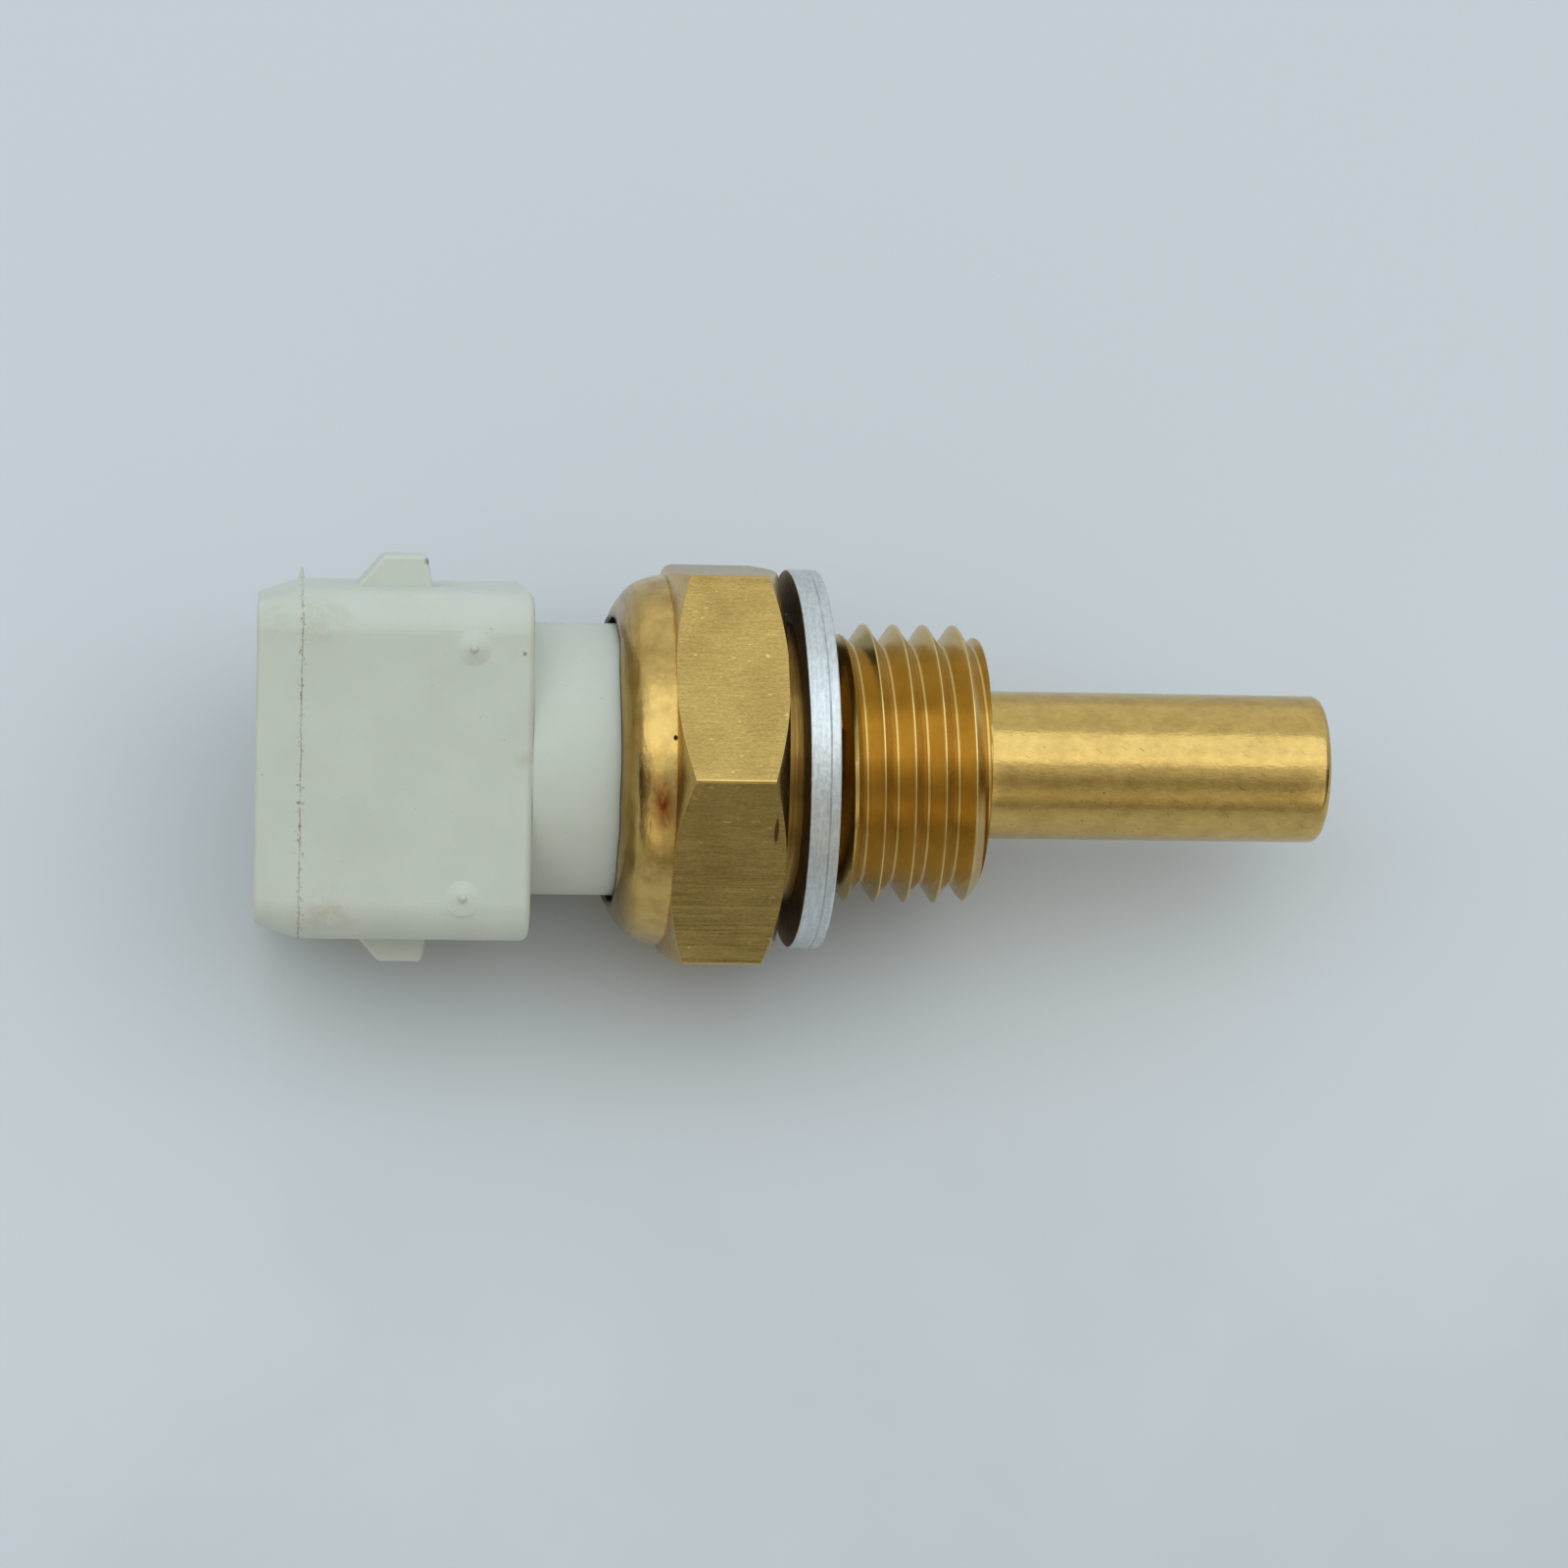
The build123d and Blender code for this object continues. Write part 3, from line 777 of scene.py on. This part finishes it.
def probe_finish():
    """Probe: satin brass, mottled by handling, with faint rings, fine pits and a few scratches."""
    finish = brass("turned_brass_probe", 0.17, (0.12, 1.4, 1.4), 0.002, 1.0, 0.25)
    tree, point = finish.tree, finish.point
    mottle = grain(tree, point, (0.5, 0.3, 0.3), 4.0, 0.6)
    finish.shade(add(tree, "ShaderNodeMapRange", (mottle, 0.3, 0.7, 0.88, 1.06)))
    across = add(tree, "ShaderNodeMapping", {"Vector": point, "Rotation": (0.3, 0.5, 0.7)})
    scratch = add(tree, "ShaderNodeMapRange",
                  (grain(tree, across, (3.0, 0.08, 0.5), 1.0), 0.70, 0.76, 0.0, 0.5))
    pits = add(tree, "ShaderNodeMapRange",
               (grain(tree, point, (0.22, 0.16, 0.16), 1.0), 0.75, 0.79, 0.0, 0.7))
    finish.cover(most(tree, [scratch, pits]), BRASS_DARK)
    finish.emboss(mottle, 0.009)
    finish.emboss(grain(tree, point, (0.4, 0.13, 0.13), 2.0, 0.7), 0.006)
    return finish.done()


def land_finish():
    """Land and relief under the washer: ringed, oiled and browned, and darkened further by painted shade of
    the gap between hexagon and washer.
    """
    finish = brass("browned_shaded_brass_land", 0.26, (0.16, 5.0, 5.0), 0.008, 1.2, 0.5)
    # Dark brown over the ring marks: partly browning, partly painted shade of the gap between hexagon and
    # washer
    finish.cover(add(finish.tree, "ShaderNodeMapRange", (finish.marks, 0.3, 0.7, 0.5, 0.95)), LAND_BROWN_AND_SHADE)
    return finish.done()


def stamped_aluminium():
    """Soft annealed aluminium: pale satin grey with fine marks round the rim and small dents."""
    finish = Finish("stamped_aluminium", "#BEC2C2", Metallic=1.0, Roughness=0.42)
    tree, point = finish.tree, finish.point
    marks = grain(tree, point, (0.12, 1.6, 1.6), 4.0, 0.65)
    dents = grain(tree, point, (0.4, 0.5, 0.5), 4.0)
    # The metal's own grain is finer than 0.1 mm, so it is drawn coarser
    crystals = grain(tree, point, (0.16, 0.3, 0.3), 3.0, 0.7)
    mixed = both(tree, add(tree, "ShaderNodeMath", (marks, crystals), operation="ADD"), 0.5)
    finish.cover(add(tree, "ShaderNodeMapRange", (mixed, 0.36, 0.62)), "#DEE1E1")
    finish.emboss(mixed, 0.014)
    finish.emboss(dents, 0.03)
    return finish.done()


def shade_painted_aluminium():
    """Back of the washer: the same metal painted dark brown in clouds, as painted shade of the narrow gap
    between washer and hexagon.
    """
    finish = Finish("shade_painted_aluminium", "#6A5A44", Metallic=1.0, Roughness=0.5)
    cloud = grain(finish.tree, finish.point, (0.8, 0.8, 0.8), 4.0)
    finish.cover(add(finish.tree, "ShaderNodeMapRange", (cloud, 0.35, 0.65)), "#8C7A5E")
    finish.emboss(cloud, 0.008)
    return finish.done()


NYLON = "#CACDC1"
NYLON_SHADE = "#C5C8BB"
NYLON_DIRT = "#6E5C3C"
NYLON_STAIN = "#A08A5A"
MOUTH_STEP_X = MOUTH_X + LEAD_IN_LENGTH + 0.02

# Centre and reach of the stains and of the dark marks on the moulding
STAINS = (
    ((-27.1, 2.8, 9.5), 1.4), ((-24.7, 2.7, 9.5), 1.8), ((-24.4, -9.7, 2.3), 2.0),
    ((-15.0, -3.0, 6.2), 0.6), ((-17.25, 1.35, 9.0), 0.75), ((-17.75, -9.0, 3.1), 0.45),
)
DARK_MARKS = (((-15.0, 1.45, 8.75), 0.12), ((-19.5, 7.55, 6.45), 0.26))


def dirty_line(tree, point):
    """Strength of the broken line of dirt caught outside by the step where the lead-in starts."""
    wander = add(tree, "ShaderNodeMapRange",
                 (grain(tree, point, (50.0, 1.2, 1.2), 3.0), 0.0, 1.0, -0.12, 0.12))
    station = add(tree, "ShaderNodeSeparateXYZ", (point,), "X")
    apart = add(tree, "ShaderNodeMath", (station, wander), operation="ADD")
    apart = add(tree, "ShaderNodeMath", (apart, MOUTH_STEP_X), operation="SUBTRACT")
    apart = add(tree, "ShaderNodeMath", (apart,), operation="ABSOLUTE")
    line = add(tree, "ShaderNodeMapRange", (apart, 0.015, 0.07, 0.9, 0.0))
    broken = add(tree, "ShaderNodeMapRange",
                 (grain(tree, point, (50.0, 0.35, 0.35), 5.0, 0.75), 0.4, 0.68, 0.1, 1.0))
    grains = add(tree, "ShaderNodeMapRange",
                 (grain(tree, point, (0.2, 0.2, 0.2), 3.0, 0.7), 0.58, 0.66, 0.0, 0.8))
    grains = both(tree, grains, add(tree, "ShaderNodeMapRange", (apart, 0.08, 0.3, 1.0, 0.0)))
    width, thickness = [add(tree, "ShaderNodeVectorMath", (point, way), "Value", operation="DOT_PRODUCT")
                        for way in (CONNECTOR_WIDTH, CONNECTOR_THICKNESS)]
    weaker = add(tree, "ShaderNodeMapRange",
                 (width, BLOCK_HALF_WIDTH - 0.3, BLOCK_HALF_WIDTH, 1.0, 0.5))
    outside = most(tree, [
        add(tree, "ShaderNodeMapRange",
            (add(tree, "ShaderNodeMath", (way,), operation="ABSOLUTE"), half - 1.1, half - 0.9))
        for way, half in ((width, BLOCK_HALF_WIDTH), (thickness, BLOCK_HALF_THICKNESS))])
    dirt = most(tree, [both(tree, line, broken), grains])
    return both(tree, both(tree, dirt, weaker), outside)


def stained(tree, point):
    """Strength of the soft brown stains near the lead-in and on the corners, in clouds."""
    ragged = add(tree, "ShaderNodeMapRange",
                 (grain(tree, point, (0.7, 0.7, 0.7), 4.0, 0.65), 0.38, 0.66, 0.15, 1.0))
    stains = most(tree, [patch(tree, point, centre, (reach,) * 3, 0.0) for centre, reach in STAINS])
    return both(tree, stains, ragged)


def white_nylon():
    """Moulded glass-filled nylon: off-white, slightly greenish, satin, with handling dirt."""
    finish = Finish("moulded_white_nylon", NYLON, Roughness=0.42, IOR=1.53, Subsurface_Weight=0.12,
                    Subsurface_Scale=0.8 * MM)
    tree, point = finish.tree, finish.point
    cloud = grain(tree, point, (3.5, 3.5, 3.5), 3.0)
    finish.cover(add(tree, "ShaderNodeMapRange", (cloud, 0.35, 0.65)), NYLON_SHADE)
    finish.cover(both(tree, stained(tree, point), 0.42), NYLON_STAIN)
    specks = add(tree, "ShaderNodeMapRange",
                 (grain(tree, point, (0.35, 0.22, 0.22), 1.0), 0.77, 0.81, 0.0, 0.3))
    marks = [both(tree, patch(tree, point, centre, (reach,) * 3, 0.5), 0.75) for centre, reach in DARK_MARKS]
    finish.cover(most(tree, [dirty_line(tree, point), specks, *marks]), NYLON_DIRT)
    finish.emboss(grain(tree, point, (0.8, 0.8, 0.8), 3.0), 0.008)
    return finish.done()


def plain_finish(name, colours, metallic, roughness, size, depth):
    """Simple finish: two near colours mixed by a grain that also makes a fine relief."""
    finish = Finish(name, colours[0], Metallic=metallic, Roughness=roughness)
    marks = grain(finish.tree, finish.point, size)
    finish.cover(add(finish.tree, "ShaderNodeMapRange", (marks, 0.3, 0.7)), colours[1])
    finish.emboss(marks, depth)
    return finish.done()


def dress_node(node, material):
    """Gives a carried-over CAD node its material."""
    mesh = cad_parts[node].data
    mesh.materials.clear()
    mesh.materials.append(material)


# Pieces

brass_piece = turned_brass()
for face in brass_piece.faces:
    face.material_index = brass_surface(face)
body = finish_piece("brass_sensor_body", brass_piece, 32.0)
for finish in (turned_finish, drawn_finish, rolled_finish, thread_finish, probe_finish, land_finish):
    body.data.materials.append(finish())
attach(body, "root")
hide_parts("brass_body")

washer_mesh = washer_ring()
# Faces turned towards the hexagon take the second material, the painted shade of the gap
for face in washer_mesh.faces:
    face.material_index = int(face.normal.x < -0.9)
washer = finish_piece("aluminium_washer", washer_mesh, 40.0)
washer.data.materials.append(stamped_aluminium())
washer.data.materials.append(shade_painted_aluminium())
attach(washer, "root")
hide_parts("sealing_washer")

moulding = white_moulding()
moulding.data.materials.clear()
moulding.data.materials.append(white_nylon())
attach(moulding, "root")
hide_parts("connector_housing")

# Tin plate rolled bright with fine lines along the blades
tinned_brass = plain_finish("tin_plated_brass", ("#C9C8C0", "#B5B4AC"), 1.0, 0.3, (1.5, 0.08, 0.08), 0.003)
# Tin-dipped copper wire, faintly lined along its length
tinned_copper = plain_finish("tinned_copper_wire", ("#C4C6C6", "#AEB0B0"), 1.0, 0.3, (0.6, 0.1, 0.1), 0.003)
# Milky extruded tube with long soft streaks
sleeve = plain_finish("extruded_ptfe_sleeve", ("#E4E3DC", "#D8D6CC"), 0.0, 0.4, (2.0, 0.2, 0.2), 0.004)
# Matt black moulded rubber
nitrile = plain_finish("moulded_nitrile_rubber", ("#1B1B1C", "#242426"), 0.0, 0.6, (0.2, 0.2, 0.2), 0.01)
# Amber film, glossy, with slight clouds
polyimide = plain_finish("wound_polyimide_film", ("#A8662A", "#8F5320"), 0.0, 0.25, (0.6, 0.6, 0.6), 0.004)
# Off-white set paste, dull and fine-grained
filling = plain_finish("cured_silicone_paste", ("#DDDDD6", "#CECEC6"), 0.0, 0.55, (0.3, 0.3, 0.3), 0.02)
# Black dipped coat, glossy and slightly uneven
epoxy = plain_finish("dipped_black_epoxy", ("#221D1A", "#2C2521"), 0.0, 0.2, (0.5, 0.5, 0.5), 0.02)
for side in ("left", "right"):
    dress_node(f"terminal_blade_{side}", tinned_brass)
    dress_node(f"lead_wire_{side}", tinned_copper)
    dress_node(f"lead_sleeve_{side}", sleeve)
dress_node("seal_ring", nitrile)
dress_node("bore_liner", polyimide)
dress_node("heat_paste", filling)
dress_node("thermistor_bead", epoxy)

# Floor, light and camera

FLOOR_HALF = 3.0
# Span in front of the sensor, in millimetres, over which the floor turns to painted shade that only
# reflections show
REFLECTED_SHADE_SPAN = (-110.0, -140.0)
WHITE = (1.0, 1.0, 1.0, 1.0)


def table_laminate():
    """Pale matt table top, with painted shade: greyer towards its front right, and darker still far in
    front, where only the metal's reflections see it.
    """
    finish = Finish("pale_table_laminate", "#BABDC0", Roughness=0.6)
    tree, point = finish.tree, finish.point
    cloud = add(tree, "ShaderNodeMapRange",
                (grain(tree, point, (14.0, 14.0, 14.0), 4.0), 0.3, 0.7, -6.0, 6.0))
    # Painted shade: the top turns greyer towards the front right, in clouds
    corner = add(tree, "ShaderNodeVectorMath", (point, (-0.12, 1.0, 0.0)), "Value", operation="DOT_PRODUCT")
    cloudy = add(tree, "ShaderNodeMath", (corner, cloud), operation="ADD")
    finish.cover(add(tree, "ShaderNodeMapRange", (cloudy, -60.0, -20.0)), "#CCCFD2")
    # Beyond 110 mm in front the floor is painted darker, as painted shade that only the metal's reflections
    # show; the camera sees a plain floor
    seen = add(tree, "ShaderNodeLightPath", output="Is Camera Ray")
    unseen = add(tree, "ShaderNodeMath", (1.0, seen), operation="SUBTRACT")
    depth = add(tree, "ShaderNodeSeparateXYZ", (point,), "Y")
    finish.cover(both(tree, add(tree, "ShaderNodeMapRange", (depth, *REFLECTED_SHADE_SPAN)), unseen), "#8A857C")
    return finish.done()


def pale_floor():
    """Large pale table top under the sensor."""
    bm = bmesh.new()
    bmesh.ops.create_grid(bm, x_segments=2, y_segments=2, size=FLOOR_HALF)
    bmesh.ops.translate(bm, vec=(0, 0, FLOOR_Z * MM), verts=bm.verts)
    mesh = bpy.data.meshes.new("floor")
    bm.to_mesh(mesh)
    bm.free()
    floor = new_object("floor", mesh)
    mesh.materials.append(table_laminate())


def area_light(name, position, target, size, power, colour):
    """Rectangular soft light that faces a target, with its long side along the sensor."""
    lamp = bpy.data.lights.new(name, "AREA")
    lamp.shape = "RECTANGLE"
    lamp.size, lamp.size_y = size
    lamp.energy = power
    lamp.color = linear(colour)[:3]
    holder = new_object(name, lamp)
    holder.location = position
    holder.rotation_euler = (Vector(target) - Vector(position)).to_track_quat("-Z", "Y").to_euler()


# Elevation in degrees from the front horizon over the top to the back, and the room's colour there
ROOM = (
    (0, "#8A8A80"), (18, "#C4C4B8"), (40, "#90908A"), (60, "#CACECC"), (77, "#F0F4F4"), (85, "#DCE4E8"),
    (180, "#E0EAEE"),
)


def room_light():
    """Room: dim and warm in front, brighter and cooler behind, with more light from the front's sides."""
    world = bpy.data.worlds.new("room")
    bpy.context.scene.world = world
    world.use_nodes = True
    tree = world.node_tree
    background = tree.nodes["Background"]
    way = add(tree, "ShaderNodeTexCoord", output="Generated")
    x, y, z = add(tree, "ShaderNodeSeparateXYZ", (way,)).node.outputs
    ahead = add(tree, "ShaderNodeMath", (y, -1.0), operation="MULTIPLY")
    elevation = add(tree, "ShaderNodeMath", (z, ahead), operation="ARCTAN2")
    share = add(tree, "ShaderNodeMath", (elevation, pi), operation="DIVIDE")
    sky = add(tree, "ShaderNodeValToRGB", (share,))
    stops = sky.node.color_ramp.elements
    for _ in ROOM[2:]:
        stops.new(1.0)
    for stop, (degrees_up, colour) in zip(stops, ROOM):
        stop.position = degrees_up / 180
        stop.color = linear(colour)
    sideways = add(tree, "ShaderNodeMath", (x,), operation="ABSOLUTE")
    in_front = add(tree, "ShaderNodeMapRange", (elevation, radians(60), radians(75), 1.0, 0.0))
    windows = add(tree, "ShaderNodeMapRange", (sideways, 0.2, 0.35, 0.0, 0.7))
    walls = add(tree, "ShaderNodeMapRange", (sideways, 0.55, 0.76, 0.0, 1.2))
    swing = both(tree, add(tree, "ShaderNodeMath", (windows, walls), operation="SUBTRACT"), in_front)
    ends = add(tree, "ShaderNodeMapRange", (sideways, 0.8, 0.96, 1.0, 0.6))
    strength = add(tree, "ShaderNodeMath", (ends, swing), operation="ADD")
    # The camera sees plain white behind the floor
    seen = add(tree, "ShaderNodeLightPath", output="Is Camera Ray")
    tree.links.new(add(tree, "ShaderNodeMix", {0: seen, MIX_A: sky, MIX_B: WHITE}, MIX_RESULT,
                       data_type="RGBA"), background.inputs["Color"])
    tree.links.new(add(tree, "ShaderNodeMix", {0: seen, 2: strength, 3: 1.0}),
                   background.inputs["Strength"])


pale_floor()
area_light("overhead_softbox", position=(-0.4, 0.118, 1.6), target=(-0.4, 0.118, 0.0), size=(4.6, 1.465),
           power=15.4, colour="#E9F7FF")
room_light()

# The camera's place and its axes, fitted to edges of the sensor
CAMERA_PLACE = (-0.0270155, -0.096389, 0.207947)
CAMERA_AXES = (
    (0.99380449, -0.01387612, -0.11027278),
    (-0.03319037, 0.90984902, -0.41360992),
    (0.10607088, 0.41470739, 0.90375149),
)
camera = new_object("camera", bpy.data.cameras.new("camera"))
camera.data.lens = 106.074
camera.data.sensor_width = 36.0
camera.data.clip_start = 0.01
camera.matrix_world = Matrix.Translation(CAMERA_PLACE) @ Matrix(CAMERA_AXES).to_4x4()
bpy.context.scene.camera = camera
bpy.context.scene.view_settings.view_transform = "Standard"

bpy.context.view_layer.update()
